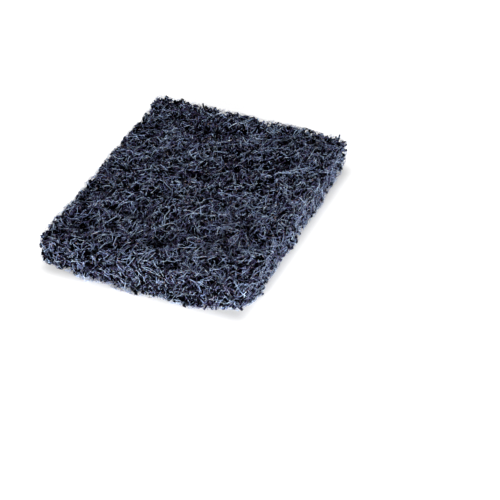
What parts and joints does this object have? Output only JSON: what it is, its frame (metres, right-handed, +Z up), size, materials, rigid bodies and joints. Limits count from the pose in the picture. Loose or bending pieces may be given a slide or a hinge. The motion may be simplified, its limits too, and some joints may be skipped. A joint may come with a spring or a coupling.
{
  "type": "scouring pad",
  "caption": "Thick rectangular scouring pad of coarse dark blue fibre web, with an open, pitted surface and rounded cut corners.",
  "frame": {"origin": "centre of the underside, on the surface that the pad lies on", "axes": "+X along the pad's length, +Y across its width, +Z up through its thickness"},
  "size_m": [0.1281, 0.0914, 0.0164],
  "materials": {
    "fibre_web": "coarse nonwoven fibre web, dark slate blue, resin bonded, with a slight gloss on the strands"
  },
  "bodies": {
    "root": {"scouring_pad": "fibre_web"}
  },
  "joints": []
}
